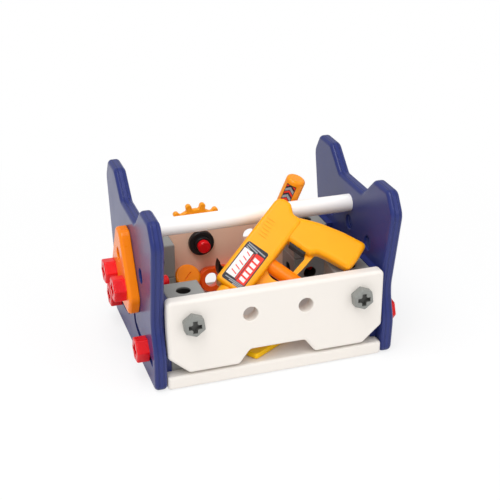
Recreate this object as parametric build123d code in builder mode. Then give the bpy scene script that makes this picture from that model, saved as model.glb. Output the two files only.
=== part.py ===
from build123d import *

import math
import os

# A toy tool box for pretend play: two shaped end panels joined by a base board, front and rear
# panels, a round carry bar and stacked corner blocks, with its toy tools and loose pieces inside.
# Millimetres, +X to the right, +Y to the back, +Z up, z = 0 on the table.
# x = 0 is midway between the end panels, y = 0 is under the carry bar.

# End panels
box_inner_length = 220.8
end_width = 200.0
end_height = 175.0
end_thickness = 12.5
end_round = 4.2
hole_radius = 7.5
hole_round = 0.8
end_hole_spacing = 95.0
end_hole_height = 104.5
plate_bolt_spacing = 42.0
plate_bolt_height = 81.0
plate_hole_share = 0.654
groove_width = 8.0
groove_depth = 1.6
# Half outline from the foot up: share of the half width, share of the height, share for the radius
end_outline_shares = (
    (0.91, 0.0, 0.08),
    (0.937, 0.217, 0.40),
    (0.84, 0.389, 0.45),
    (1.01, 0.884, 0.16),
    (0.873, 1.0, 0.09),
    (0.552, 1.0, 0.10),
    (0.29, 0.867, 0.08),
)
# Groove route on the outer face, in shares of the half width and the height
groove_route_shares = ((0.08, 0.30), (0.13, 0.205), (0.30, 0.18), (0.62, 0.172), (0.83, 0.157))
groove_bend_share = 0.10

# Base board
base_depth = 184.0
base_thickness = 13.5
base_lift = 1.0
base_round = 2.6
base_corner_radius = 3.4

# Front and rear panels
box_depth = 186.6
panel_thickness = 13.8
panel_height = 78.0
panel_end_gap = 1.0
panel_base_gap = 2.5
panel_round = 3.6
panel_corner_radius = 5.0
panel_corner_width = 20.4
panel_corner_height = 18.0
cutout_width = 56.0
cutout_height = 14.5
cutout_flare = 11.0
panel_hole_spacing = 56.0

# Corner blocks
block_size = 37.5
block_pad = 6.65
block_round = 1.6
block_hole_radius = 7.2

# Carry bar
bar_radius = 9.0
bar_height = 130.0
bar_peg_radius = 6.0
bar_peg_length = 7.0

# Toy bolts and nuts
bolt_flats = 22.5
bolt_round = 1.6
bolt_turn = 38.0
bolt_radius = 6.8
tip_chamfer = 1.2
red_head_height = 12.0
red_block_length = 33.0
plate_bolt_length = 44.0
grey_head_flats = 19.6
grey_head_height = 9.0
grey_head_round = 2.6
grey_bolt_length = 34.0
recess_width = 4.6
recess_span_share = 0.66
recess_depth = 5.0
recess_round = 1.6
nut_height = 11.0
nut_fit = 0.1

# Shaped plate bolted to the left end panel
plate_thickness = 11.0
plate_height = 78.0
plate_foot_height = 57.0
plate_round = 3.4
plate_hole_radius = 7.0
# Half outline from the foot up, in shares of the plate's height, with the corner radius share
plate_outline_shares = ((0.436, 0.0, 0.10), (0.551, 0.244, 0.11), (0.115, 1.0, 0.11))

# Gear on the rear panel
# Shares of the distance from its bolt to the next grey bolt
gear_root_share = 0.5526
gear_lobe_height_share = 0.1193
gear_lobe_width_share = 0.1123
gear_lobes = 14
gear_thickness = 6.0
gear_round = 1.2
gear_boss_radius = 13.0
gear_boss_height = 1.5
gear_gap = 0.3
gear_bore_clearance = 0.08
gear_bolt_inside = 16.5
gear_nut_flange_radius = 14.0
gear_nut_flange_height = 5.5
gear_nut_hub_radius = 8.8
gear_nut_hub_height = 4.5

# Clearance between a loose piece and what it rests on
rest_gap = 0.3

# Toy drill, lying with its nose down: the directions of its nose and of the face seen from the front
drill_nose_direction = (-0.7406, -0.3836, -0.5517)
drill_face_direction = (-0.1588, -0.6979, 0.6984)
drill_thickness = 21.0
drill_wall = 2.2
drill_body_round = 4.0
drill_handle_front = 8.8
drill_handle_rear = 6.5
drill_handle_round = 5.0
drill_reach = 100.0
drill_lean_x = 26.5
drill_lean_along = -6.4
drill_lean_across = 1.3
drill_lean_gap = 0.3
# Outlines in shares of the reach, along the body and away from it, with the corner radius share
body_outline_shares = (
    (-0.150, 0.0, 0.09),
    (-0.149, 0.145, 0.06),
    (-0.071, 0.228, 0.05),
    (-0.071, 0.344, 0.05),
    (0.93, 0.344, 0.045),
    (0.93, 0.0, 0.045),
)
handle_outline_shares = (
    (0.05, 0.17, 0.02),
    (-0.061, 0.236, 0.03),
    (-0.157, 0.469, 0.60),
    (-0.221, 0.726, 0.80),
    (-0.256, 0.988, 0.046),
    (-0.052, 1.005, 0.60),
    (0.078, 0.990, 0.052),
    (0.099, 0.755, 0.60),
    (0.118, 0.650, 0.08),
    (0.180, 0.590, 0.03),
    (0.180, 0.300, 0.02),
)
guard_outline_shares = (
    (0.100, 0.280, 0.01),
    (0.100, 0.634, 0.01),
    (0.300, 0.619, 0.30),
    (0.470, 0.596, 0.30),
    (0.600, 0.582, 0.11),
    (0.715, 0.440, 0.10),
    (0.800, 0.280, 0.01),
)
opening_outline_shares = (
    (0.180, 0.320, 0.02),
    (0.180, 0.578, 0.05),
    (0.574, 0.549, 0.102),
    (0.574, 0.338, 0.102),
)
guard_thickness = 12.0
guard_round = 1.8
hollow_start_share = -0.03
vent_count = 6
vent_pitch = 3.8
vent_drift = 0.5
vent_width = 1.3
vent_length = 9.4
vent_height = 0.5
vent_first_share = 0.117
vent_middle_share = 0.092
vent_turn = 90.0

# Round grip bar across the drill's finger opening
grip_radius = 7.6
grip_depth = 3.0
grip_along_share = 0.468
grip_root_share = 0.329
grip_end_share = 0.70

# Drill trigger and its spring
trigger_width = 18.4
trigger_thickness = 10.0
trigger_middle_share = 0.458
trigger_front_share = 0.205
trigger_lip = 2.0
trigger_lip_depth = 3.0
trigger_clearance = 0.3
trigger_lip_share = 0.05
trigger_chamber_share = -0.07
trigger_round = 2.0
spring_radius = 4.0
spring_bore = 2.6

# Drill chuck, bit and housing screws
chuck_radius = 10.0
chuck_length = 12.0
chuck_round = 2.0
chuck_stem_radius = 6.0
chuck_stem_length = 7.0
chuck_collar_radius = 8.0
chuck_collar_length = 2.0
chuck_clearance = 0.08
chuck_gap = 0.3
bit_radius = 3.5
bit_length = 14.0
bit_flat_tip = 2.5
bit_tail = 10.0
screw_radius = 1.4
screw_head_radius = 2.8
screw_head_height = 2.0
screw_boss_radius = 3.6
# Housing screw places in shares of the reach
screw_place_shares = ((0.02, 0.085), (0.81, 0.265), (-0.08, 0.88))

# Toy hammer standing on its head, its handle leaning on the rear of the carry bar
hammer_handle_direction = (0.30, -0.21, 0.93)
hammer_claw_turn = 8.0
hammer_head_share = 0.154
hammer_head_z = 34.8
handle_radius = 10.0
handle_reach = 133.0
handle_end_round = 3.2
handle_tenon_radius = 6.5
hammer_face_radius = 13.0
hammer_face_length = 10.0
hammer_face_reach = 30.0
hammer_neck_radius = 10.0
hammer_eye_half = 12.5
hammer_eye_round = 3.0
claw_reach = 46.0
claw_rise = 21.0
claw_width = 24.0
# Middles of the claw's lower and upper curve, in shares of its reach and of its root
claw_low_shares = (0.78, -0.15)
claw_high_shares = (0.66, 0.75)
claw_notch_width = 9.0
claw_notch_start = 24.0
claw_root = 11.0
claw_round = 1.5

# Loose slotted screw with a nut, standing on its tip against the rear panel
toy_screw_head_radius = 13.5
toy_screw_head_height = 8.0
toy_screw_head_round = 2.4
toy_screw_radius = 7.0
toy_screw_length = 37.0
toy_screw_tilt = 45.0
slot_width = 1.4
slot_length = 10.0
slot_depth = 1.5
slot_turn = 45.0
loose_nut_flats = 23.0

# Loose link strip standing on its long edge against the rear panel
# Shares of the floor's length between the loose screw and the right corner block
strip_length_share = 0.865
strip_start_share = 0.052
strip_width = 27.0
strip_thickness = 11.0
strip_pitch_share = 0.352
strip_holes = 3
strip_corner = 12.0
strip_round = 2.4
strip_lean = 15.0

# Loose set square lying on the base board under the front cut-out
square_corner_x = -20.0
square_corner_inset = 7.3
square_arm = 66.0
square_arm_width = 12.0
square_thickness = 6.0
square_turn = 32.5
square_corner_radius = 3.0
square_round = 1.0

# Depth that cuts run past the piece
overrun = 1.0

# Places worked out from the sizes above
inner_x = box_inner_length / 2
outer_x = inner_x + end_thickness
base_top = base_lift + base_thickness
panel_outer_y = box_depth / 2
panel_inner_y = panel_outer_y - panel_thickness
panel_bottom = base_top + panel_base_gap
panel_top = panel_bottom + panel_height
block_x = inner_x - block_pad - block_size / 2
block_y = panel_inner_y - block_size / 2
block_low_z = base_top + block_size / 2
block_high_z = base_top + block_size + block_size / 2
block_bay_x = block_x - block_size / 2
plate_hole_height = plate_foot_height + plate_hole_share * plate_height
gear_x = -panel_hole_spacing / 2
gear_room = block_x + gear_x
gear_root_radius = gear_root_share * gear_room
gear_lobe_height = gear_lobe_height_share * gear_room
gear_lobe_width = gear_lobe_width_share * gear_room
gear_seat_y = panel_outer_y + gear_gap
gear_bolt_seat_y = gear_seat_y + gear_boss_height + gear_thickness + gear_gap
bar_axis = Vector(0, 0, bar_height)


def save(builder, name):
    builder.part.label = name
    export_step(builder.part, f"parts/{name}.step")


def at_far_side(edge_list, plane):
    """Edges lying furthest along the plane's normal."""
    return edge_list.group_by(Axis(plane.origin, plane.z_dir))[-1]


def at_near_side(edge_list, plane):
    """Edges lying furthest against the plane's normal."""
    return edge_list.group_by(Axis(plane.origin, plane.z_dir))[0]


def rounded_slab(plane, points, radii, height, far_round, near_round=0.0):
    """A plate with a filleted outline, rounded around one or both faces."""
    with BuildPart() as slab:
        with BuildSketch(plane):
            with BuildLine():
                FilletPolyline(*points, radius=radii, close=True)
            make_face()
        extrude(amount=height)
        if far_round:
            fillet(at_far_side(slab.edges(), plane), far_round)
        if near_round:
            fillet(at_near_side(slab.edges(), plane), near_round)
    return slab.part


def mirrored_outline(half_points):
    """Full closed outline from the points of its right half, from the foot up."""
    left_points = [(-across, up) for across, up in reversed(half_points)]
    return list(half_points) + left_points


def mirrored_radii(half_radii):
    return list(half_radii) + list(reversed(half_radii))


def toy_bolt(seat, flats, head_height, head_round, shank_length):
    """Hex head bolt: the head stands on the seat plane and the shank runs the other way."""
    with BuildPart() as bolt:
        with BuildSketch(seat):
            RegularPolygon(flats / 2, side_count=6, major_radius=False, rotation=bolt_turn)
            fillet(vertices(), bolt_round)
        extrude(amount=head_height)
        fillet(at_far_side(edges(), seat), head_round)
        with BuildSketch(seat):
            Circle(bolt_radius)
        extrude(amount=-shank_length)
        chamfer(at_near_side(edges(), seat), tip_chamfer)
        with BuildSketch(seat.offset(head_height)):
            Rectangle(recess_span_share * flats, recess_width)
            Rectangle(recess_width, recess_span_share * flats)
            inner_corners = vertices().filter_by(lambda v: math.hypot(v.X, v.Y) < recess_width)
            fillet(inner_corners, recess_round)
        extrude(amount=-recess_depth, mode=Mode.SUBTRACT)
    return bolt.part


def toy_nut(seat, flats, height, bore_radius):
    """Hex nut standing on the seat plane."""
    with BuildPart() as nut:
        with BuildSketch(seat):
            RegularPolygon(radius=flats / 2, side_count=6, major_radius=False)
            fillet(vertices(), bolt_round)
        extrude(amount=height)
        fillet(at_far_side(edges(), seat), bolt_round / 2)
        fillet(at_near_side(edges(), seat), bolt_round / 2)
        with BuildSketch(seat):
            Circle(bore_radius)
        extrude(amount=height, mode=Mode.SUBTRACT)
    return nut.part


os.makedirs("parts", exist_ok=True)


# End panels
end_half = end_width / 2
end_points = mirrored_outline([(w * end_half, h * end_height) for w, h, _ in end_outline_shares])
end_radii = mirrored_radii([r * end_half for _, _, r in end_outline_shares])
groove_points = [(w * end_half, h * end_height) for w, h in groove_route_shares]

for side, name in ((-1, "end_panel_left"), (1, "end_panel_right")):
    inner_plane = Plane.YZ.offset(side * inner_x)
    outer_plane = Plane.YZ.offset(side * outer_x)
    with BuildPart() as end_panel:
        with BuildSketch(inner_plane):
            with BuildLine():
                FilletPolyline(*end_points, radius=end_radii, close=True)
            make_face()
        extrude(amount=side * end_thickness)
        fillet(end_panel.edges().group_by(Axis.X)[0], end_round)
        fillet(end_panel.edges().group_by(Axis.X)[-1], end_round)
        # Pads that the corner blocks sit against
        with BuildSketch(inner_plane):
            for across in (-block_y, block_y):
                with Locations((across, base_top + block_size)):
                    Rectangle(block_size, 2 * block_size)
        extrude(amount=-side * block_pad)
        # Open holes and bolt holes
        with BuildSketch(outer_plane):
            with Locations((0, plate_hole_height)):
                Circle(hole_radius)
            with Locations((0, end_hole_height)):
                with GridLocations(end_hole_spacing, 0, 2, 1):
                    Circle(hole_radius)
            with Locations((0, plate_bolt_height)):
                with GridLocations(plate_bolt_spacing, 0, 2, 1):
                    Circle(hole_radius)
        extrude(amount=-side * end_thickness, mode=Mode.SUBTRACT)
        fillet(edges(Select.LAST).filter_by(GeomType.CIRCLE), hole_round)
        with BuildSketch(outer_plane):
            with Locations((0, block_low_z)):
                with GridLocations(2 * block_y, 0, 2, 1):
                    Circle(block_hole_radius)
        extrude(amount=-side * (end_thickness + block_pad), mode=Mode.SUBTRACT)
        # Sockets for the pegs of the carry bar
        with BuildSketch(inner_plane):
            with Locations((0, bar_height)):
                Circle(bar_peg_radius + nut_fit)
        extrude(amount=side * bar_peg_length, mode=Mode.SUBTRACT)
        # Moulded grooves, one to each side of the middle
        for hand in (-1, 1):
            with BuildSketch(outer_plane):
                with BuildLine():
                    FilletPolyline(
                        *[(hand * across, up) for across, up in groove_points],
                        radius=groove_bend_share * end_half,
                    )
                trace(line_width=groove_width)
            extrude(amount=-side * groove_depth, mode=Mode.SUBTRACT)
    save(end_panel, name)


# Base board
with BuildPart() as base_board:
    with BuildSketch(Plane.XY.offset(base_lift)):
        RectangleRounded(box_inner_length, base_depth, base_corner_radius)
    extrude(amount=base_thickness)
    fillet(base_board.edges().group_by(Axis.Z)[0], base_round)
    fillet(base_board.edges().group_by(Axis.Z)[-1], base_round)
save(base_board, "base_board")


# Front and rear panels
panel_half = inner_x - panel_end_gap
panel_half_points = [
    (cutout_width / 2, panel_bottom + cutout_height),
    (cutout_width / 2 + cutout_flare, panel_bottom),
    (panel_half - panel_corner_width, panel_bottom),
    (panel_half, panel_bottom + panel_corner_height),
    (panel_half, panel_top),
]
panel_left_points = [(-x, z) for x, z in reversed(panel_half_points)]
for side, name in ((-1, "front_panel"), (1, "rear_panel")):
    outer_plane = Plane.XZ.offset(-side * panel_outer_y)
    with BuildPart() as panel:
        with BuildSketch(outer_plane):
            with BuildLine():
                FilletPolyline(
                    *panel_half_points, *panel_left_points, radius=panel_corner_radius, close=True
                )
            make_face()
        extrude(amount=side * panel_thickness)
        fillet(panel.edges().group_by(Axis.Y)[0], panel_round)
        fillet(panel.edges().group_by(Axis.Y)[-1], panel_round)
        with BuildSketch(outer_plane):
            with Locations((0, block_high_z)):
                with GridLocations(panel_hole_spacing, 0, 2, 1):
                    Circle(hole_radius)
        extrude(amount=side * panel_thickness, mode=Mode.SUBTRACT)
        fillet(edges(Select.LAST).filter_by(GeomType.CIRCLE), hole_round)
        with BuildSketch(outer_plane):
            with Locations((0, block_high_z)):
                with GridLocations(2 * block_x, 0, 2, 1):
                    Circle(block_hole_radius)
        extrude(amount=side * panel_thickness, mode=Mode.SUBTRACT)
    save(panel, name)


# Carry bar with a peg at each end
with BuildPart() as carry_bar:
    with BuildSketch(Plane.YZ.offset(-inner_x)):
        with Locations((0, bar_height)):
            Circle(bar_radius)
    extrude(amount=box_inner_length)
    with BuildSketch(Plane.YZ.offset(-inner_x - bar_peg_length)):
        with Locations((0, bar_height)):
            Circle(bar_peg_radius)
    extrude(amount=box_inner_length + 2 * bar_peg_length)
save(carry_bar, "carry_bar")


# Corner blocks, two high in each corner, holed on every face
for level, middle_z in (("lower", block_low_z), ("upper", block_high_z)):
    for x_side, y_side, corner in ((-1, -1, "fl"), (1, -1, "fr"), (-1, 1, "rl"), (1, 1, "rr")):
        middle = Vector(x_side * block_x, y_side * block_y, middle_z)
        with BuildPart() as block:
            with BuildSketch(Plane(middle).offset(-block_size / 2)):
                Rectangle(block_size, block_size)
            extrude(amount=block_size)
            fillet(block.edges(), block_round)
            for direction in (Vector(1, 0, 0), Vector(0, 1, 0), Vector(0, 0, 1)):
                with BuildSketch(Plane(origin=middle, z_dir=direction)):
                    Circle(block_hole_radius)
                extrude(amount=block_size / 2, both=True, mode=Mode.SUBTRACT)
        save(block, f"corner_block_{level}_{corner}")


# Grey bolts through the front and rear panels into the upper blocks
for y_side, name in ((-1, "grey_bolts_front"), (1, "grey_bolts_rear")):
    solids = []
    for x_side in (-1, 1):
        origin = (x_side * block_x, y_side * panel_outer_y, block_high_z)
        seat = Plane(origin=origin, x_dir=(1, 0, 0), z_dir=(0, y_side, 0))
        solids.append(toy_bolt(seat, grey_head_flats, grey_head_height, grey_head_round, grey_bolt_length))
    with BuildPart() as grey_bolts:
        add(solids)
    save(grey_bolts, name)


# Red bolts through the end panels into the lower blocks
for x_side, name in ((-1, "red_bolts_left"), (1, "red_bolts_right")):
    solids = []
    for y_side in (-1, 1):
        origin = (x_side * outer_x, y_side * block_y, block_low_z)
        seat = Plane(origin=origin, x_dir=(0, 0, 1), z_dir=(x_side, 0, 0))
        solids.append(toy_bolt(seat, bolt_flats, red_head_height, bolt_round, red_block_length))
    with BuildPart() as red_bolts:
        add(solids)
    save(red_bolts, name)


# Shaped plate on the left end panel, with its two bolts and nuts
plate_points = mirrored_outline(
    [(w * plate_height, plate_foot_height + h * plate_height) for w, h, _ in plate_outline_shares]
)
plate_radii = mirrored_radii([r * plate_height for _, _, r in plate_outline_shares])
plate_plane = Plane(origin=(-outer_x, 0, 0), x_dir=(0, -1, 0), z_dir=(-1, 0, 0))
with BuildPart() as end_plate:
    add(rounded_slab(plate_plane, plate_points, plate_radii, plate_thickness, plate_round, tip_chamfer))
    with BuildSketch(plate_plane):
        with Locations((0, plate_hole_height)):
            Circle(plate_hole_radius)
        with Locations((0, plate_bolt_height)):
            with GridLocations(plate_bolt_spacing, 0, 2, 1):
                Circle(block_hole_radius)
    extrude(amount=plate_thickness, mode=Mode.SUBTRACT)
    fillet(edges(Select.LAST).filter_by(GeomType.CIRCLE), hole_round)
save(end_plate, "end_plate")

plate_bolt_solids = []
plate_nut_solids = []
for y_side in (-1, 1):
    place_y = y_side * plate_bolt_spacing / 2
    head_seat = Plane(
        origin=(-outer_x - plate_thickness, place_y, plate_bolt_height),
        x_dir=(0, 0, 1),
        z_dir=(-1, 0, 0),
    )
    plate_bolt_solids.append(toy_bolt(head_seat, bolt_flats, red_head_height, bolt_round, plate_bolt_length))
    nut_seat = Plane(origin=(-inner_x, place_y, plate_bolt_height), x_dir=(0, 0, 1), z_dir=(1, 0, 0))
    plate_nut_solids.append(toy_nut(nut_seat, bolt_flats, nut_height, bolt_radius + nut_fit))
with BuildPart() as plate_bolts:
    add(plate_bolt_solids)
save(plate_bolts, "plate_bolts")
with BuildPart() as plate_nuts:
    add(plate_nut_solids)
save(plate_nuts, "plate_nuts")


# Gear behind the rear panel, turning on its own bolt
gear_plane = Plane(origin=(gear_x, gear_seat_y, block_high_z), x_dir=(1, 0, 0), z_dir=(0, 1, 0))
with BuildPart() as gear:
    with BuildSketch(gear_plane.offset(gear_boss_height)):
        Circle(gear_root_radius)
        lobe_middle = (gear_root_radius + gear_lobe_height) / 2
        with PolarLocations(lobe_middle, gear_lobes):
            SlotOverall(gear_root_radius + gear_lobe_height, gear_lobe_width)
        root_corners = vertices().filter_by(lambda v: math.hypot(v.X, v.Y) < gear_root_radius + gear_round)
        fillet(root_corners, gear_lobe_width / 3)
    extrude(amount=gear_thickness)
    fillet(at_far_side(gear.edges(), gear_plane), gear_round)
    fillet(at_near_side(gear.edges(), gear_plane), gear_round)
    with BuildSketch(gear_plane):
        Circle(gear_boss_radius)
    extrude(amount=gear_boss_height)
    with BuildSketch(gear_plane):
        Circle(bolt_radius + gear_bore_clearance)
    extrude(amount=gear_boss_height + gear_thickness, mode=Mode.SUBTRACT)
save(gear, "gear")

gear_bolt_seat = Plane(
    origin=(gear_x, gear_bolt_seat_y, block_high_z), x_dir=(1, 0, 0), z_dir=(0, 1, 0)
)
gear_bolt_length = gear_bolt_seat_y - panel_inner_y + gear_bolt_inside
with BuildPart() as gear_bolt:
    add(toy_bolt(gear_bolt_seat, bolt_flats, red_head_height, bolt_round, gear_bolt_length))
save(gear_bolt, "gear_bolt")

gear_nut_plane = Plane(
    origin=(gear_x, panel_inner_y, block_high_z), x_dir=(1, 0, 0), z_dir=(0, -1, 0)
)
with BuildPart() as gear_nut:
    with BuildSketch(gear_nut_plane):
        Circle(gear_nut_flange_radius)
    extrude(amount=gear_nut_flange_height)
    fillet(at_far_side(gear_nut.edges(), gear_nut_plane), bolt_round)
    with BuildSketch(gear_nut_plane.offset(gear_nut_flange_height)):
        Circle(gear_nut_hub_radius)
    extrude(amount=gear_nut_hub_height)
    fillet(at_far_side(gear_nut.edges(), gear_nut_plane), hole_round)
    with BuildSketch(gear_nut_plane):
        Circle(bolt_radius + nut_fit)
    extrude(amount=gear_nut_flange_height + gear_nut_hub_height, mode=Mode.SUBTRACT)
save(gear_nut, "gear_nut")


# Toy drill: local x runs to the nose, local y to the end of the handle, local z to the seen face
nose_direction = Vector(*drill_nose_direction).normalized()
face_direction = Vector(*drill_face_direction).normalized()
across_direction = face_direction.cross(nose_direction)
bar_touch = bar_axis + Vector(drill_lean_x, 0, 0)
drill_origin = (
    bar_touch
    + face_direction * (drill_thickness / 2 + bar_radius + drill_lean_gap)
    - nose_direction * drill_lean_along
    - across_direction * drill_lean_across
)
drill_plane = Plane(origin=drill_origin, x_dir=nose_direction, z_dir=face_direction)
half_thickness = drill_thickness / 2
body_end = drill_reach * max(along for along, _, _ in body_outline_shares)
drill_body_width = drill_reach * max(across for _, across, _ in body_outline_shares)
grip_middle = drill_origin + nose_direction * (grip_along_share * drill_reach) - face_direction * grip_depth
grip_root = Plane(
    origin=grip_middle + across_direction * (grip_root_share * drill_reach),
    x_dir=nose_direction,
    z_dir=across_direction,
)
grip_length = (grip_end_share - grip_root_share) * drill_reach


def drill_slab(outline_shares, height, far_round):
    """A plate on the drill's middle plane, from an outline in shares of the reach."""
    points = [(along * drill_reach, across * drill_reach) for along, across, _ in outline_shares]
    radii = [radius * drill_reach for _, _, radius in outline_shares]
    return rounded_slab(drill_plane, points, radii, height, far_round)


def drill_half_solid(handle_height):
    """One half of the drill housing, on the seen side, with a handle of that height."""
    guard = drill_slab(guard_outline_shares, guard_thickness / 2, 0.0)
    opening = drill_slab(opening_outline_shares, guard_thickness / 2, 0.0)
    with BuildPart() as guard_ring:
        add(guard)
        add(opening, mode=Mode.SUBTRACT)
        fillet(at_far_side(guard_ring.edges(), drill_plane), guard_round)
    with BuildPart() as half:
        add(drill_slab(body_outline_shares, half_thickness, drill_body_round))
        add(drill_slab(handle_outline_shares, handle_height, drill_handle_round))
        add(guard_ring.part)
        # Vent ribs
        with BuildSketch(drill_plane.offset(half_thickness - drill_wall)):
            for index in range(vent_count):
                along = vent_first_share * drill_reach + index * vent_pitch
                across = vent_middle_share * drill_reach + index * vent_drift
                with Locations((along, across)):
                    SlotOverall(vent_length, vent_width, rotation=vent_turn)
        extrude(amount=drill_wall + vent_height)
        # Hollow body
        with BuildSketch(drill_plane):
            hollow_start = hollow_start_share * drill_reach
            hollow_length = body_end - drill_wall - hollow_start
            with Locations((hollow_start + hollow_length / 2, drill_body_width / 2)):
                RectangleRounded(hollow_length, drill_body_width - 2 * drill_wall, drill_wall)
        extrude(amount=half_thickness - drill_wall, mode=Mode.SUBTRACT)
        # Chamber and mouth for the trigger
        with BuildSketch(drill_plane):
            add_trigger_pocket()
        extrude(amount=trigger_thickness / 2 + trigger_clearance, mode=Mode.SUBTRACT)
        # Nose opening for the chuck stem, and bosses for the housing screws
        with BuildSketch(nose_plane.offset(-drill_wall - overrun)):
            Circle(chuck_stem_radius + chuck_clearance)
        extrude(amount=drill_wall + 2 * overrun, mode=Mode.SUBTRACT)
        with BuildSketch(drill_plane):
            for place in screw_places[:2]:
                with Locations(place):
                    Circle(screw_boss_radius)
        extrude(amount=half_thickness - drill_wall / 2)
    return half.part


trigger_middle = trigger_middle_share * drill_reach
chamber_start = trigger_chamber_share * drill_reach
lip_front = trigger_lip_share * drill_reach
mouth_start = lip_front + trigger_clearance
trigger_front = trigger_front_share * drill_reach
mouth_half = trigger_width / 2 + trigger_clearance
chamber_half = mouth_half + trigger_lip


def add_trigger_pocket():
    """Outline of the trigger's chamber and of the narrower mouth in front of it."""
    chamber_length = mouth_start - chamber_start
    with Locations((chamber_start + chamber_length / 2, trigger_middle)):
        Rectangle(chamber_length, 2 * chamber_half)
    mouth_length = trigger_front - mouth_start
    with Locations((mouth_start + mouth_length / 2, trigger_middle)):
        Rectangle(mouth_length, 2 * mouth_half)


nose_middle = drill_origin + nose_direction * body_end + across_direction * (drill_body_width / 2)
nose_plane = Plane(origin=nose_middle, x_dir=across_direction, z_dir=nose_direction)
screw_places = [(along * drill_reach, across * drill_reach) for along, across in screw_place_shares]

front_half = drill_half_solid(drill_handle_front)
rear_half = mirror(drill_half_solid(drill_handle_rear), about=drill_plane)

with BuildPart() as drill_housing_front:
    add(front_half)
    # Seat of the grip bar
    with BuildSketch(grip_root):
        Circle(grip_radius)
    extrude(amount=grip_length, mode=Mode.SUBTRACT)
    with BuildSketch(drill_plane):
        for place in screw_places:
            with Locations(place):
                Circle(screw_radius)
    extrude(amount=drill_handle_rear - drill_wall, mode=Mode.SUBTRACT)
save(drill_housing_front, "drill_housing_front")

with BuildPart() as drill_housing_rear:
    add(rear_half)
    # Seat of the grip bar
    with BuildSketch(grip_root):
        Circle(grip_radius)
    extrude(amount=grip_length, mode=Mode.SUBTRACT)
    for place, depth in zip(screw_places, (half_thickness, half_thickness, drill_handle_rear)):
        with BuildSketch(drill_plane):
            with Locations(place):
                Circle(screw_radius)
        extrude(amount=-depth, mode=Mode.SUBTRACT)
        with BuildSketch(drill_plane.offset(-depth)):
            with Locations(place):
                Circle(screw_head_radius)
        extrude(amount=screw_head_height, mode=Mode.SUBTRACT)
save(drill_housing_rear, "drill_housing_rear")

with BuildPart() as drill_grip:
    with BuildSketch(grip_root):
        Circle(grip_radius)
    extrude(amount=grip_length)
    fillet(at_far_side(drill_grip.edges(), grip_root), bolt_round)
save(drill_grip, "drill_grip")

with BuildPart() as drill_screws:
    for place, depth in zip(screw_places, (half_thickness, half_thickness, drill_handle_rear)):
        with BuildSketch(drill_plane.offset(-depth)):
            with Locations(place):
                Circle(screw_head_radius)
        extrude(amount=screw_head_height)
        with BuildSketch(drill_plane.offset(-depth)):
            with Locations(place):
                Circle(screw_radius)
        extrude(amount=depth + drill_handle_rear - drill_wall)
save(drill_screws, "drill_screws")

with BuildPart() as drill_trigger:
    with BuildSketch(drill_plane):
        lip_back = lip_front - trigger_lip_depth
        with Locations((lip_back + trigger_lip_depth / 2, trigger_middle)):
            Rectangle(trigger_lip_depth, trigger_width + 2 * trigger_lip)
        stem_length = trigger_front - lip_back
        with Locations((lip_back + stem_length / 2, trigger_middle)):
            RectangleRounded(stem_length, trigger_width, trigger_round)
    extrude(amount=trigger_thickness / 2, both=True)
save(drill_trigger, "drill_trigger")

spring_start = drill_origin + nose_direction * chamber_start + across_direction * trigger_middle
spring_length = lip_back - chamber_start
with BuildPart() as trigger_spring:
    with BuildSketch(Plane(origin=spring_start, x_dir=across_direction, z_dir=nose_direction)):
        Circle(spring_radius)
        Circle(spring_bore, mode=Mode.SUBTRACT)
    extrude(amount=spring_length)
save(trigger_spring, "trigger_spring")

with BuildPart() as drill_chuck:
    with BuildSketch(nose_plane.offset(chuck_gap)):
        Circle(chuck_radius)
    extrude(amount=chuck_length)
    fillet(at_far_side(drill_chuck.edges(), nose_plane), chuck_round)
    with BuildSketch(nose_plane.offset(chuck_gap)):
        Circle(chuck_stem_radius)
    extrude(amount=-chuck_stem_length)
    with BuildSketch(nose_plane.offset(chuck_gap - chuck_stem_length)):
        Circle(chuck_collar_radius)
    extrude(amount=chuck_collar_length)
    with BuildSketch(nose_plane.offset(chuck_gap + chuck_length)):
        Circle(bit_radius)
    extrude(amount=-bit_tail, mode=Mode.SUBTRACT)
save(drill_chuck, "drill_chuck")

with BuildPart() as drill_bit:
    with BuildSketch(nose_plane.offset(chuck_gap + chuck_length - bit_tail)):
        Circle(bit_radius)
    extrude(amount=bit_tail + bit_length)
    chamfer(at_far_side(drill_bit.edges(), nose_plane), bit_flat_tip)
save(drill_bit, "drill_bit")


# Toy hammer: local x runs to the claw, local z to the end of the handle
handle_direction = Vector(*hammer_handle_direction).normalized()
level_claw = Vector(-1, 0, 0) + handle_direction * handle_direction.X
level_claw = level_claw.normalized()
claw_direction = level_claw.rotate(Axis((0, 0, 0), handle_direction), hammer_claw_turn)
# The handle's middle line passes the bar's middle line at this distance
bar_pass = handle_radius + bar_radius + rest_gap
handle_rise = math.hypot(handle_direction.Y, handle_direction.Z)
bar_drop = (hammer_head_z - bar_height) * handle_direction.Y / handle_direction.Z
hammer_head_y = bar_drop + bar_pass * handle_rise / handle_direction.Z
head_middle = Vector(hammer_head_share * inner_x, hammer_head_y, hammer_head_z)
hammer_plane = Plane(origin=head_middle, x_dir=claw_direction, z_dir=handle_direction)
claw_plane = Plane(
    origin=head_middle, x_dir=claw_direction, z_dir=claw_direction.cross(handle_direction)
)
strike_plane = Plane(
    origin=head_middle, x_dir=handle_direction, z_dir=claw_direction * -1
)

with BuildPart() as hammer_handle:
    with BuildSketch(hammer_plane):
        Circle(handle_radius)
    extrude(amount=handle_reach)
    fillet(at_far_side(hammer_handle.edges(), hammer_plane), handle_end_round)
    with BuildSketch(hammer_plane):
        Circle(handle_radius)
    extrude(amount=hammer_eye_half, mode=Mode.SUBTRACT)
    with BuildSketch(hammer_plane.offset(-hammer_eye_half)):
        Circle(handle_tenon_radius)
    extrude(amount=2 * hammer_eye_half)
save(hammer_handle, "hammer_handle")

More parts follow.
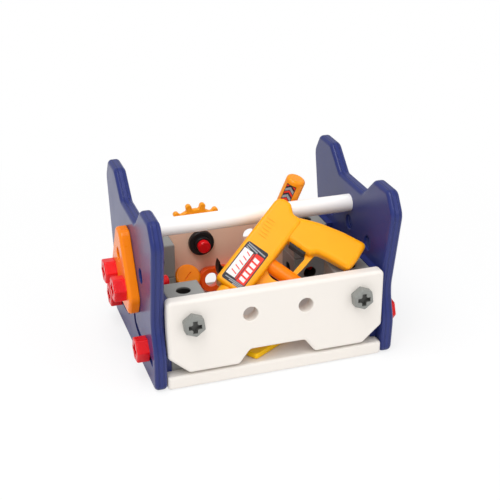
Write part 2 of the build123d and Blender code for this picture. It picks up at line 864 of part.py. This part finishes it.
with BuildPart() as hammer_head:
    with BuildSketch(hammer_plane.offset(-hammer_eye_half)):
        RectangleRounded(2 * hammer_eye_half, 2 * hammer_eye_half, hammer_eye_round)
    extrude(amount=2 * hammer_eye_half)
    with BuildSketch(strike_plane):
        Circle(hammer_neck_radius)
    extrude(amount=hammer_face_reach)
    with BuildSketch(strike_plane.offset(hammer_face_reach - hammer_face_length)):
        Circle(hammer_face_radius)
    extrude(amount=hammer_face_length)
    fillet(at_far_side(edges(Select.LAST), strike_plane), claw_round)
    # Curved claw, tapering to its tips
    with BuildSketch(claw_plane):
        with BuildLine():
            tip = (claw_reach, claw_rise)
            low_root = (hammer_eye_half - overrun, -claw_root)
            high_root = (hammer_eye_half - overrun, claw_root)
            low_middle = (claw_reach * claw_low_shares[0], claw_root * claw_low_shares[1])
            high_middle = (claw_reach * claw_high_shares[0], claw_root * claw_high_shares[1])
            ThreePointArc(low_root, low_middle, tip)
            ThreePointArc(tip, high_middle, high_root)
            Line(high_root, low_root)
        make_face()
    extrude(amount=claw_width / 2, both=True)
    # Notch between the two prongs
    with BuildSketch(hammer_plane.offset(-claw_reach)):
        with BuildLine():
            notch_far = claw_reach + overrun
            Polyline(
                (claw_notch_start, 0),
                (notch_far, claw_notch_width / 2),
                (notch_far, -claw_notch_width / 2),
                close=True,
            )
        make_face()
    extrude(amount=2 * claw_reach, mode=Mode.SUBTRACT)
    # Eye for the handle's tenon
    with BuildSketch(hammer_plane.offset(-hammer_eye_half - overrun)):
        Circle(handle_tenon_radius)
    extrude(amount=2 * hammer_eye_half + 2 * overrun, mode=Mode.SUBTRACT)
save(hammer_head, "hammer_head")


# Loose slotted screw and its nut
tilt = math.radians(toy_screw_tilt)
tip_offset = (toy_screw_radius - tip_chamfer) * math.cos(tilt) + rest_gap
screw_x = -block_bay_x + toy_screw_head_radius + rest_gap
screw_tip = Vector(screw_x, panel_inner_y - tip_offset, base_top + tip_offset)
screw_up = Vector(0, -math.cos(tilt), math.sin(tilt))
head_seat = Plane(origin=screw_tip + screw_up * toy_screw_length, x_dir=(1, 0, 0), z_dir=screw_up)
with BuildPart() as toy_screw:
    with BuildSketch(head_seat):
        Circle(toy_screw_head_radius)
    extrude(amount=toy_screw_head_height)
    fillet(at_far_side(toy_screw.edges(), head_seat), toy_screw_head_round)
    with BuildSketch(head_seat):
        Circle(toy_screw_radius)
    extrude(amount=-toy_screw_length)
    chamfer(at_near_side(toy_screw.edges(), head_seat), tip_chamfer)
    with BuildSketch(head_seat.offset(toy_screw_head_height)):
        SlotOverall(slot_length, slot_width, rotation=slot_turn)
    extrude(amount=-slot_depth, mode=Mode.SUBTRACT)
save(toy_screw, "toy_screw")

loose_nut_seat = head_seat.offset(-nut_height - nut_fit)
with BuildPart() as loose_nut:
    add(toy_nut(loose_nut_seat, loose_nut_flats, nut_height, toy_screw_radius + nut_fit))
save(loose_nut, "loose_nut")


# Loose link strip
strip_room_start = screw_x + toy_screw_head_radius
strip_room = block_bay_x - strip_room_start
strip_length = strip_length_share * strip_room
strip_x = strip_room_start + strip_start_share * strip_room + strip_length / 2
lean = math.radians(strip_lean)
strip_up = Vector(0, math.sin(lean), math.cos(lean))
strip_back = Vector(0, math.cos(lean), -math.sin(lean))
strip_edge_cut = strip_round * (math.sin(lean) + math.cos(lean) - 1)
strip_foot_offset = rest_gap - strip_edge_cut
strip_back_foot = Vector(
    strip_x,
    panel_inner_y - strip_foot_offset - strip_width * math.sin(lean),
    base_top + strip_foot_offset,
)
strip_middle = strip_back_foot + strip_up * (strip_width / 2)
strip_plane = Plane(origin=strip_middle, x_dir=(1, 0, 0), z_dir=strip_back * -1)
with BuildPart() as link_strip:
    with BuildSketch(strip_plane):
        RectangleRounded(strip_length, strip_width, strip_corner)
    extrude(amount=strip_thickness)
    fillet(at_far_side(link_strip.edges(), strip_plane), strip_round)
    fillet(at_near_side(link_strip.edges(), strip_plane), strip_round)
    with BuildSketch(strip_plane):
        with GridLocations(strip_pitch_share * strip_length, 0, strip_holes, 1):
            Circle(hole_radius)
    extrude(amount=strip_thickness, mode=Mode.SUBTRACT)
    fillet(edges(Select.LAST).filter_by(GeomType.CIRCLE), hole_round)
save(link_strip, "link_strip")


# Loose set square, a right-angled triangle with an open middle
square_corner = Vector(square_corner_x, -panel_outer_y + square_corner_inset, base_top + rest_gap)
turn = math.radians(square_turn)
square_plane = Plane(
    origin=square_corner, x_dir=(math.cos(turn), math.sin(turn), 0), z_dir=(0, 0, 1)
)
window_start = square_arm_width
window_far = square_arm - square_arm_width * (1 + math.sqrt(2))
with BuildPart() as set_square:
    with BuildSketch(square_plane):
        with BuildLine():
            FilletPolyline(
                (0, 0), (square_arm, 0), (0, square_arm), radius=square_corner_radius, close=True
            )
        make_face()
        with BuildLine():
            FilletPolyline(
                (window_start, window_start),
                (window_far, window_start),
                (window_start, window_far),
                radius=square_corner_radius,
                close=True,
            )
        make_face(mode=Mode.SUBTRACT)
    extrude(amount=square_thickness)
    fillet(at_far_side(set_square.edges(), square_plane), square_round)
    fillet(at_near_side(set_square.edges(), square_plane), square_round)
save(set_square, "set_square")
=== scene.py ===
import math

import bpy
from mathutils import Matrix, Vector


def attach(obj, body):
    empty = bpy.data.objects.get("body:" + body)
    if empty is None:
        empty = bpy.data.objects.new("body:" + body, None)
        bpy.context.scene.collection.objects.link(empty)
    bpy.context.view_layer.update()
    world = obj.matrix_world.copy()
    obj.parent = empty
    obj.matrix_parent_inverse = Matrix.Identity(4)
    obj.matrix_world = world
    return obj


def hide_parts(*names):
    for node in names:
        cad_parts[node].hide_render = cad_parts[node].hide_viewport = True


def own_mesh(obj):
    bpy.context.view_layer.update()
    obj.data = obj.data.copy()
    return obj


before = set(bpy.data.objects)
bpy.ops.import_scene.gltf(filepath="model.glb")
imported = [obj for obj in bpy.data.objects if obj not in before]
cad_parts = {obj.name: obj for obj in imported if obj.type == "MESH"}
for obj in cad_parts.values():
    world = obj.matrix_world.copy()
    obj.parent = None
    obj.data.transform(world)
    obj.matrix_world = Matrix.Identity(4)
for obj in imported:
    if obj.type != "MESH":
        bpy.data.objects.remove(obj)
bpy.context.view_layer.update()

# Camera: lengths in metres, angles in degrees, lens and sensor in millimetres
camera_place = Vector((-0.31319, -0.95473, 0.56373))
camera_heading = 18.272
camera_pitch = -25.147
camera_roll = -0.211
camera_lens = 78.36
camera_sensor = 36.0
camera_near = 0.05
camera_far = 50.0

# Floor and backdrop
floor_size = 8.0
floor_colour = (0.93, 0.93, 0.93)
floor_roughness = 0.9
floor_white_share = 0.75
floor_fade_start = 0.22
floor_fade_end = 0.60
world_light = 0.60

# Lamps: name, place, the point that it faces, width and power
lamps = (
    ("key", (-0.5, -0.9, 1.5), (0, 0, 0.06), 1.1, 10.0),
    ("fill", (1.2, -1.3, 0.8), (0, 0, 0.06), 1.2, 5.0),
    ("top", (-0.35, -0.2, 1.6), (0, 0, 0.10), 1.0, 8.5),
)

# Colours as seen in the photograph, red, green and blue from 0 to 255
white_rgb = (236, 230, 223)
# painted light: the carry bar's white, lighter than the panels' white for the strong light on its top
lit_bar_white_rgb = (252, 250, 248)
# painted bounce light: the rear panel's white, given a warm tint for the orange light bounced onto it
# from the tools
bounce_lit_white_rgb = (248, 211, 186)
navy_rgb = (40, 50, 112)
block_rgb = (146, 146, 143)
# painted shade: the colour that the inside of the corner blocks' holes is darkened to
hole_shade_rgb = (44, 42, 40)
bolt_grey_rgb = (136, 137, 133)
# painted shade: the colour that the inside of the grey bolts' cross recess is darkened to
recess_shade_rgb = (92, 92, 89)
red_rgb = (228, 14, 24)
plate_rgb = (255, 132, 2)
screw_rgb = (255, 136, 2)
handle_rgb = (255, 152, 16)
grip_rgb = (255, 132, 4)
gear_rgb = (255, 162, 26)
strip_rgb = (240, 84, 12)
amber_rgb = (255, 168, 6)
yellow_rgb = (255, 196, 4)
black_rgb = (32, 29, 30)
bit_rgb = (112, 112, 116)
steel_rgb = (170, 170, 172)
label_white_rgb = (236, 228, 226)
label_grey_rgb = (150, 152, 158)
label_dark_rgb = (38, 38, 44)
label_red_rgb = (232, 44, 30)

# What all the moulded plastics share: mottling, satin grain, gloss and the light inside them
mottle_scale = 38.0
mottle_detail = 4.0
grain_scale = 2600.0
grain_detail = 2.0
grain_depth = 0.0003
gloss_spread = 0.05
plastic_specular = 0.25
coat_roughness = 0.12
glow_radius = (1.0, 0.35, 0.08)
glow_scale = 0.004

# End panels: middle of their thickness, and a fine groove round the rim on each side of it
parting_x = 0.11665
parting_spread = 0.0024
parting_half_width = 0.0009
parting_depth = 0.0009
parting_strength = 0.9

# Corner blocks: middle of an upper one above the height where two meet, and how far from a
# block's middle its holes start and their painted shade is full
block_middle = (0.085, 0.06075, 0.01875)
block_meet_z = 0.052
block_hole_start = 0.0200
block_hole_full_shade = 0.0180

# Grey bolts: place of their middle lines, the recess's reach round them and where it starts, for the
# painted shade inside it
bolt_x = 0.085
bolt_z = 0.07075
recess_reach = 0.0082
recess_top = 0.1020
recess_shade_fade = 0.0012

# Toy drill: its directions, the start of its outline and half its thickness
drill_nose = Vector((-0.7406, -0.3836, -0.5517)).normalized()
drill_face = Vector((-0.1588, -0.6979, 0.6984)).normalized()
drill_across = drill_face.cross(drill_nose)
drill_start = Vector((0.01777, -0.01549, 0.14089))
drill_half = 0.0105

# Trigger spring: its coil and wire, its turns, and the steps round each turn and sides round the wire
spring_coil_radius = 0.0033
spring_wire_radius = 0.0006
spring_turns = 7
spring_steps = 24
spring_sides = 8

# Labels: the inks' places among a label's materials, and the print's thickness
dark_ink = 0
white_ink = 1
grey_ink = 2
red_ink = 3
label_thickness = 0.00012
label_base_share = 0.6
label_level_share = 0.4

# Drill's label, in millimetres along and across the drill. Fields: start, end, near, far, corner
# radius, ink and level. Rows of slanted bars: ink, level, count, then the first bar's start,
# length, near, far and slant, and what each of them gains from bar to bar
millimetres = 1000
field_corner_steps = 6
drill_label_fields = (
    (42.6, 88.4, 3.9, 28.3, 2.4, dark_ink, 1),
    (50.4, 82.0, 5.0, 15.2, 0.4, white_ink, 2),
    (49.4, 83.4, 18.0, 27.2, 0.4, red_ink, 2),
    (51.2, 82.4, 15.9, 17.2, 0.3, red_ink, 2),
)
drill_label_rows = (
    (grey_ink, 2, 3, (43.9, 1.3, 5.6, 26.6, 2.6), (2.0, 0.0, 0.0, -8.0, -0.5)),
    (grey_ink, 2, 3, (84.4, 1.0, 6.6, 26.4, -0.6), (1.4, 0.0, 5.0, 0.0, 0.0)),
    (red_ink, 3, 5, (52.6, 1.1, 9.6, 14.2, 2.0), (5.7, 0.0, -0.5, 0.0, 0.0)),
    (white_ink, 3, 5, (53.4, 3.9, 19.2, 25.2, 0.9), (5.8, 0.0, 0.0, 0.0, 0.0)),
)

# Toy hammer's handle: its root, direction and radius
hammer_root = Vector((0.0170, 0.04128, 0.0348))
hammer_direction = Vector((0.30, -0.21, 0.93)).normalized()
hammer_radius = 0.010

# Hammer's label: where it faces, starts and ends, the angle that it wraps, and its mesh
hammer_label_face = Vector((-0.50, -0.80, 0.33))
hammer_label_start = 0.100
hammer_label_end = 0.1275
hammer_label_half_angle = 31.0
hammer_label_columns = 36
hammer_label_rows = 60

# Its dark edge, its chevrons' number and slant, and the inks in one chevron with where each ends
hammer_edge_share = 0.9
hammer_edge_rows = 2
chevron_count = 3.2
chevron_slant = 0.55
chevron_inks = ((0.26, dark_ink), (0.52, red_ink), (0.62, dark_ink), (1.0, grey_ink))


# Shader nodes
def link(tree, source, target):
    tree.links.new(source, target)


def object_place(tree):
    return tree.nodes.new("ShaderNodeTexCoord").outputs["Object"]


def maths(tree, operation, source, second=None):
    """Result of a sum on a socket, with a number or another socket as its second term."""
    node = tree.nodes.new("ShaderNodeMath")
    node.operation = operation
    link(tree, source, node.inputs[0])
    if isinstance(second, bpy.types.NodeSocket):
        link(tree, second, node.inputs[1])
    elif second is not None:
        node.inputs[1].default_value = second
    return node.outputs[0]


def vector_maths(tree, operation, source, second=None):
    """Outputs of a sum on a vector, with a fixed vector as its second term."""
    node = tree.nodes.new("ShaderNodeVectorMath")
    node.operation = operation
    link(tree, source, node.inputs[0])
    if second is not None:
        node.inputs[1].default_value = second
    return node.outputs


def split(tree, source):
    node = tree.nodes.new("ShaderNodeSeparateXYZ")
    link(tree, source, node.inputs[0])
    return node.outputs


def spread_range(tree, source, from_min=0.0, from_max=1.0, to_min=0.0, to_max=1.0, smooth=False):
    """A socket's value carried from one range to another."""
    node = tree.nodes.new("ShaderNodeMapRange")
    if smooth:
        node.interpolation_type = "SMOOTHSTEP"
    node.inputs["From Min"].default_value = from_min
    node.inputs["From Max"].default_value = from_max
    node.inputs["To Min"].default_value = to_min
    node.inputs["To Max"].default_value = to_max
    link(tree, source, node.inputs["Value"])
    return node.outputs["Result"]


def noise(tree, place, scale, detail):
    node = tree.nodes.new("ShaderNodeTexNoise")
    node.inputs["Scale"].default_value = scale
    node.inputs["Detail"].default_value = detail
    link(tree, place, node.inputs["Vector"])
    return node.outputs["Fac"]


def add_bump(tree, height, strength, depth):
    """Adds relief to the shader, over any that it has."""
    normal = tree.nodes["Principled BSDF"].inputs["Normal"]
    node = tree.nodes.new("ShaderNodeBump")
    node.inputs["Strength"].default_value = strength
    node.inputs["Distance"].default_value = depth
    link(tree, height, node.inputs["Height"])
    if normal.is_linked:
        link(tree, normal.links[0].from_socket, node.inputs["Normal"])
    link(tree, node.outputs["Normal"], normal)


def linear(rgb):
    """Scene-linear colour of an 8-bit display colour, by the sRGB curve."""
    values = []
    for part in rgb:
        share = part / 255
        if share <= 0.04045:
            values.append(share / 12.92)
        else:
            values.append(((share + 0.055) / 1.055) ** 2.4)
    return (*values, 1.0)


# Materials
def moulded_plastic(name, rgb, roughness, grain=0.06, mottle=0.05, coat=0.0, glow=0.0):
    """Moulded plastic: faint mottling of its colour and gloss, and a fine satin grain."""
    material = bpy.data.materials.new(name)
    material.use_nodes = True
    tree = material.node_tree
    shader = tree.nodes["Principled BSDF"]
    shader.inputs["Specular IOR Level"].default_value = plastic_specular
    shader.inputs["Coat Weight"].default_value = coat
    shader.inputs["Coat Roughness"].default_value = coat_roughness
    shader.inputs["Subsurface Weight"].default_value = glow
    shader.inputs["Subsurface Radius"].default_value = glow_radius
    shader.inputs["Subsurface Scale"].default_value = glow_scale

    place = object_place(tree)
    cloud = noise(tree, place, mottle_scale, mottle_detail)
    base = linear(rgb)[:3]
    tint = tree.nodes.new("ShaderNodeMix")
    tint.data_type = "RGBA"
    tint.inputs["A"].default_value = tuple(v * (1 - mottle) for v in base) + (1.0,)
    tint.inputs["B"].default_value = tuple(min(1.0, v * (1 + mottle)) for v in base) + (1.0,)
    link(tree, cloud, tint.inputs["Factor"])
    link(tree, tint.outputs["Result"], shader.inputs["Base Color"])
    gloss = spread_range(tree, cloud, to_min=roughness - gloss_spread, to_max=roughness + gloss_spread)
    link(tree, gloss, shader.inputs["Roughness"])
    add_bump(tree, noise(tree, place, grain_scale, grain_detail), grain, grain_depth)
    return material


def add_parting_lines(material):
    """Two fine grooves round the rim of an end panel, on either side of its middle."""
    tree = material.node_tree
    side = maths(tree, "ABSOLUTE", split(tree, object_place(tree))["X"])
    from_middle = maths(tree, "ABSOLUTE", maths(tree, "SUBTRACT", side, parting_x))
    from_groove = maths(tree, "ABSOLUTE", maths(tree, "SUBTRACT", from_middle, parting_spread))
    height = spread_range(tree, from_groove, from_max=parting_half_width, smooth=True)
    add_bump(tree, height, parting_strength, parting_depth)


def mix_in_painted_shade(tree, share, rgb):
    """Mixes painted shade into the shader's colour, towards a darker one, by a socket from 0 to 1."""
    colour = tree.nodes["Principled BSDF"].inputs["Base Color"]
    mix = tree.nodes.new("ShaderNodeMix")
    mix.data_type = "RGBA"
    mix.inputs["B"].default_value = linear(rgb)
    link(tree, share, mix.inputs["Factor"])
    link(tree, colour.links[0].from_socket, mix.inputs["A"])
    link(tree, mix.outputs["Result"], colour)


def paint_recess_shade(material, rgb):
    """Paints shade into the inside of the grey bolts' cross recess, which light hardly reaches."""
    tree = material.node_tree
    parts = split(tree, vector_maths(tree, "ABSOLUTE", object_place(tree))["Vector"])
    flat = tree.nodes.new("ShaderNodeCombineXYZ")
    link(tree, parts["X"], flat.inputs["X"])
    link(tree, parts["Z"], flat.inputs["Z"])
    middle_line = (bolt_x, 0.0, bolt_z)
    reach = vector_maths(tree, "DISTANCE", flat.outputs["Vector"], middle_line)["Value"]
    near = maths(tree, "LESS_THAN", reach, recess_reach)
    deep = spread_range(tree, parts["Y"], from_min=recess_top, from_max=recess_top - recess_shade_fade)
    mix_in_painted_shade(tree, maths(tree, "MULTIPLY", near, deep), rgb)


def paint_hole_shade(material, rgb):
    """Paints shade into the inside of the corner blocks' holes, by the distance from each block's middle.
    """
    tree = material.node_tree
    lowered = vector_maths(tree, "SUBTRACT", object_place(tree), (0.0, 0.0, block_meet_z))
    folded = vector_maths(tree, "ABSOLUTE", lowered["Vector"])
    reach = vector_maths(tree, "DISTANCE", folded["Vector"], block_middle)["Value"]
    mix_in_painted_shade(tree, spread_range(tree, reach, from_min=block_hole_start, from_max=block_hole_full_shade), rgb)


def dress(material, *names):
    """Gives CAD nodes their material."""
    for name in names:
        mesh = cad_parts[name].data
        mesh.materials.clear()
        mesh.materials.append(material)


white = moulded_plastic("white_moulded", white_rgb, roughness=0.40, mottle=0.012)
# carry bar's material: a lighter copy of the panels' white, with painted light
lit_bar_white = moulded_plastic("lit_bar_white_moulded", lit_bar_white_rgb, roughness=0.34, mottle=0.008)
# rear panel's material: its white warmed by painted bounce light
bounce_lit_white = moulded_plastic("bounce_lit_white_moulded", bounce_lit_white_rgb, roughness=0.40, mottle=0.012)
navy = moulded_plastic("navy_moulded", navy_rgb, roughness=0.30, coat=0.10)
add_parting_lines(navy)
block_grey = moulded_plastic("block_grey_moulded", block_rgb, roughness=0.45)
paint_hole_shade(block_grey, hole_shade_rgb)
bolt_grey = moulded_plastic("bolt_grey_moulded", bolt_grey_rgb, roughness=0.42)
paint_recess_shade(bolt_grey, recess_shade_rgb)
red = moulded_plastic("red_moulded", red_rgb, roughness=0.28, coat=0.10)
plate_orange = moulded_plastic("plate_moulded", plate_rgb, roughness=0.28, coat=0.10)
screw_orange = moulded_plastic("toy_screw_moulded", screw_rgb, roughness=0.32)
handle_orange = moulded_plastic("hammer_handle_moulded", handle_rgb, roughness=0.30, coat=0.10, glow=0.15)
grip_orange = moulded_plastic("grip_moulded", grip_rgb, roughness=0.32, glow=0.15)
gear_orange = moulded_plastic("gear_moulded", gear_rgb, roughness=0.32)
strip_orange = moulded_plastic("strip_moulded", strip_rgb, roughness=0.32)
amber = moulded_plastic("amber_moulded", amber_rgb, roughness=0.34, mottle=0.02, glow=0.20)
yellow = moulded_plastic("yellow_moulded", yellow_rgb, roughness=0.36)
black = moulded_plastic("black_moulded", black_rgb, roughness=0.40)
bit_grey = moulded_plastic("bit_moulded", bit_rgb, roughness=0.40)
steel = moulded_plastic("screw_metal", steel_rgb, roughness=0.28)
steel.node_tree.nodes["Principled BSDF"].inputs["Metallic"].default_value = 1.0
label_white = moulded_plastic("label_white", label_white_rgb, roughness=0.35, grain=0.01, mottle=0.03)
label_grey = moulded_plastic("label_grey", label_grey_rgb, roughness=0.30, grain=0.01, mottle=0.10)
label_dark = moulded_plastic("label_dark", label_dark_rgb, roughness=0.30, grain=0.01, mottle=0.05)
label_red = moulded_plastic("label_red", label_red_rgb, roughness=0.30, grain=0.01, mottle=0.05)
label_materials = (label_dark, label_white, label_grey, label_red)

dress(white, "base_board", "front_panel")
dress(lit_bar_white, "carry_bar")
dress(bounce_lit_white, "rear_panel")
dress(navy, "end_panel_left", "end_panel_right")
for level in ("lower", "upper"):
    for corner in ("fl", "fr", "rl", "rr"):
        dress(block_grey, f"corner_block_{level}_{corner}")
dress(bolt_grey, "grey_bolts_front", "grey_bolts_rear")
dress(red, "red_bolts_left", "red_bolts_right", "plate_bolts", "plate_nuts", "gear_bolt", "loose_nut")
dress(plate_orange, "end_plate")
dress(screw_orange, "toy_screw")
dress(handle_orange, "hammer_handle")
dress(grip_orange, "drill_grip")
dress(gear_orange, "gear")
dress(strip_orange, "link_strip")
dress(amber, "drill_housing_front", "drill_housing_rear", "drill_chuck")
dress(yellow, "set_square")
dress(black, "gear_nut", "drill_trigger", "hammer_head")
dress(bit_grey, "drill_bit")
dress(steel, "drill_screws", "trigger_spring")


# Printed labels and the trigger's spring
def mesh_piece(name, points, faces, indices, materials, body):
    """A mesh piece with a material for each face, riding on a CAD body."""
    mesh = bpy.data.meshes.new(name)
    mesh.from_pydata([tuple(point) for point in points], [], faces)
    for material in materials:
        mesh.materials.append(material)
    for polygon, index in zip(mesh.polygons, indices):
        polygon.material_index = index
    piece = bpy.data.objects.new(name, mesh)
    bpy.context.collection.objects.link(piece)
    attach(piece, body)
    return piece


def rounded_outline(start, end, near, far, radius):
    """Corner points of a rectangle with rounded corners."""
    points = []
    corners = ((end, far, 0), (start, far, 90), (start, near, 180), (end, near, 270))
    for along, across, turn_start in corners:
        middle_along = along - radius if along == end else along + radius
        middle_across = across - radius if across == far else across + radius
        for step in range(field_corner_steps + 1):
            angle = math.radians(turn_start + 90 * step / field_corner_steps)
            point_along = middle_along + radius * math.cos(angle)
            points.append((point_along, middle_across + radius * math.sin(angle)))
    return points


def slanted_bar(start, length, near, far, slant):
    """Corner points of a bar across the label, its far end moved along by the slant."""
    end = start + length
    return [(start, near), (end, near), (end + slant, far), (start + slant, far)]


def drill_label():
    """Label on the drill's seen face: a dark ground with bars, a white field and a red band."""
    layers = []
    for start, end, near, far, radius, ink, level in drill_label_fields:
        layers.append((rounded_outline(start, end, near, far, radius), ink, level))
    for ink, level, count, first_bar, gains in drill_label_rows:
        for index in range(count):
            bar = [value + gain * index for value, gain in zip(first_bar, gains)]
            layers.append((slanted_bar(*bar), ink, level))

    points, faces, indices = [], [], []
    for outline, ink, level in layers:
        top = drill_half + label_thickness * (label_base_share + label_level_share * level)
        count = len(outline)
        first = len(points)
        for height in (top, drill_half - label_thickness):
            for along, across in outline:
                flat = drill_nose * (along / millimetres) + drill_across * (across / millimetres)
                points.append(drill_start + flat + drill_face * height)
        faces.append(list(range(first, first + count)))
        faces.append(list(reversed(range(first + count, first + 2 * count))))
        for step in range(count):
            after = (step + 1) % count
            faces.append([first + step, first + count + step, first + count + after, first + after])
        indices += [ink] * (count + 2)
    mesh_piece("drill_label", points, faces, indices, label_materials, "drill")


def hammer_label_ink(row, column):
    """Ink of one cell of the hammer's label: its dark edge, or the chevron's band there."""
    across = abs(2 * (column + 0.5) / hammer_label_columns - 1)
    at_end = row < hammer_edge_rows or row >= hammer_label_rows - hammer_edge_rows
    if across > hammer_edge_share or at_end:
        return dark_ink
    along = (row + 0.5) / hammer_label_rows
    beat = (along * chevron_count + chevron_slant * across) % 1.0
    return next(ink for end, ink in chevron_inks if beat < end)


def hammer_label():
    """Label wrapped round the hammer's handle: chevrons over a grey field, with a dark edge."""
    columns, rows = hammer_label_columns, hammer_label_rows
    axis = hammer_direction
    front = (hammer_label_face - axis * hammer_label_face.dot(axis)).normalized()
    side = axis.cross(front)
    points, faces, indices = [], [], []
    for radius in (hammer_radius + label_thickness, hammer_radius - label_thickness):
        for row in range(rows + 1):
            along = hammer_label_start + (hammer_label_end - hammer_label_start) * row / rows
            for column in range(columns + 1):
                angle = math.radians(hammer_label_half_angle * (2 * column / columns - 1))
                outward = front * math.cos(angle) + side * math.sin(angle)
                points.append(hammer_root + axis * along + outward * radius)

    width = columns + 1
    under = width * (rows + 1)
    for row in range(rows):
        for column in range(columns):
            corner = row * width + column
            faces.append([corner, corner + 1, corner + width + 1, corner + width])
            indices.append(hammer_label_ink(row, column))
            corner += under
            faces.append([corner, corner + width, corner + width + 1, corner + 1])
            indices.append(dark_ink)
    edge = list(range(columns))
    edge += [row * width + columns for row in range(rows)]
    edge += [rows * width + columns - column for column in range(columns)]
    edge += [(rows - row) * width for row in range(rows)]
    for step, corner in enumerate(edge):
        after = edge[(step + 1) % len(edge)]
        faces.append([corner, corner + under, after + under, after])
        indices.append(dark_ink)
    mesh_piece("hammer_label", points, faces, indices, label_materials, "hammer")


def trigger_spring_coil():
    """The trigger's spring as a wound wire, in the space of the sleeve that stands for it."""
    sleeve = [vertex.co - drill_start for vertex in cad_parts["trigger_spring"].data.vertices]
    alongs = [point.dot(drill_nose) for point in sleeve]
    start = min(alongs)
    length = max(alongs) - start
    middle = sum(sleeve, Vector()) / len(sleeve)
    root = drill_start + middle + drill_nose * (start - middle.dot(drill_nose))
    second = drill_nose.cross(drill_across)
    points, faces = [], []
    count = spring_turns * spring_steps
    for step in range(count + 1):
        angle = math.tau * step / spring_steps
        outward = drill_across * math.cos(angle) + second * math.sin(angle)
        along = spring_wire_radius + (length - 2 * spring_wire_radius) * step / count
        centre = root + drill_nose * along + outward * spring_coil_radius
        for side in range(spring_sides):
            turn = math.tau * side / spring_sides
            round_wire = outward * math.cos(turn) + drill_nose * math.sin(turn)
            points.append(centre + round_wire * spring_wire_radius)
    for step in range(count):
        here = step * spring_sides
        ahead = here + spring_sides
        for side in range(spring_sides):
            after = (side + 1) % spring_sides
            faces.append((here + side, ahead + side, ahead + after, here + after))
    faces.append(tuple(range(spring_sides)))
    faces.append(tuple(reversed(range(count * spring_sides, (count + 1) * spring_sides))))
    piece = mesh_piece("trigger_spring_coil", points, faces, [0] * len(faces), [steel], "drill")
    for polygon in piece.data.polygons:
        polygon.use_smooth = True
    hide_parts("trigger_spring")
    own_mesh(piece)


drill_label()
hammer_label()
trigger_spring_coil()


# Stage
def make_camera():
    camera = bpy.data.objects.new("camera", bpy.data.cameras.new("camera"))
    bpy.context.collection.objects.link(camera)
    camera.data.lens = camera_lens
    camera.data.sensor_width = camera_sensor
    camera.data.clip_start = camera_near
    camera.data.clip_end = camera_far
    turn = Matrix.Rotation(math.radians(-camera_heading), 4, "Z")
    tilt = Matrix.Rotation(math.radians(90 + camera_pitch), 4, "X")
    roll = Matrix.Rotation(math.radians(camera_roll), 4, "Z")
    camera.matrix_world = Matrix.Translation(camera_place) @ turn @ tilt @ roll
    return camera


def make_floor():
    """Pale floor that keeps the box's shadow and fades to plain white away from it."""
    half = floor_size / 2
    mesh = bpy.data.meshes.new("floor")
    corners = [(-half, -half, 0), (half, -half, 0), (half, half, 0), (-half, half, 0)]
    mesh.from_pydata(corners, [], [(0, 1, 2, 3)])
    floor = bpy.data.objects.new("floor", mesh)
    bpy.context.collection.objects.link(floor)
    material = bpy.data.materials.new("pale_floor")
    material.use_nodes = True
    tree = material.node_tree
    shader = tree.nodes["Principled BSDF"]
    shader.inputs["Base Color"].default_value = (*floor_colour, 1.0)
    shader.inputs["Roughness"].default_value = floor_roughness
    distance = vector_maths(tree, "LENGTH", object_place(tree))["Value"]
    fade = spread_range(
        tree, distance, floor_fade_start, floor_fade_end, to_min=floor_white_share, smooth=True
    )
    path = tree.nodes.new("ShaderNodeLightPath")
    share = maths(tree, "MULTIPLY", path.outputs["Is Camera Ray"], fade)
    glow = tree.nodes.new("ShaderNodeEmission")
    mix = tree.nodes.new("ShaderNodeMixShader")
    link(tree, share, mix.inputs["Fac"])
    link(tree, shader.outputs["BSDF"], mix.inputs[1])
    link(tree, glow.outputs["Emission"], mix.inputs[2])
    link(tree, mix.outputs["Shader"], tree.nodes["Material Output"].inputs["Surface"])
    mesh.materials.append(material)


def make_world():
    """Even pale light all round, seen as white by the camera."""
    world = bpy.data.worlds.new("pale_world")
    world.use_nodes = True
    tree = world.node_tree
    background = tree.nodes["Background"]
    background.inputs["Color"].default_value = (1.0, 1.0, 1.0, 1.0)
    path = tree.nodes.new("ShaderNodeLightPath")
    strength = spread_range(tree, path.outputs["Is Camera Ray"], to_min=world_light)
    link(tree, strength, background.inputs["Strength"])
    bpy.context.scene.world = world


def area_light(name, place, aim, size, power):
    light = bpy.data.lights.new(name, "AREA")
    light.shape = "DISK"
    light.size = size
    light.energy = power
    lamp = bpy.data.objects.new(name, light)
    bpy.context.collection.objects.link(lamp)
    lamp.location = place
    lamp.rotation_euler = (Vector(aim) - Vector(place)).to_track_quat("-Z", "Y").to_euler()


bpy.context.scene.camera = make_camera()
make_floor()
make_world()
for lamp_row in lamps:
    area_light(*lamp_row)
bpy.context.scene.view_settings.view_transform = "Standard"
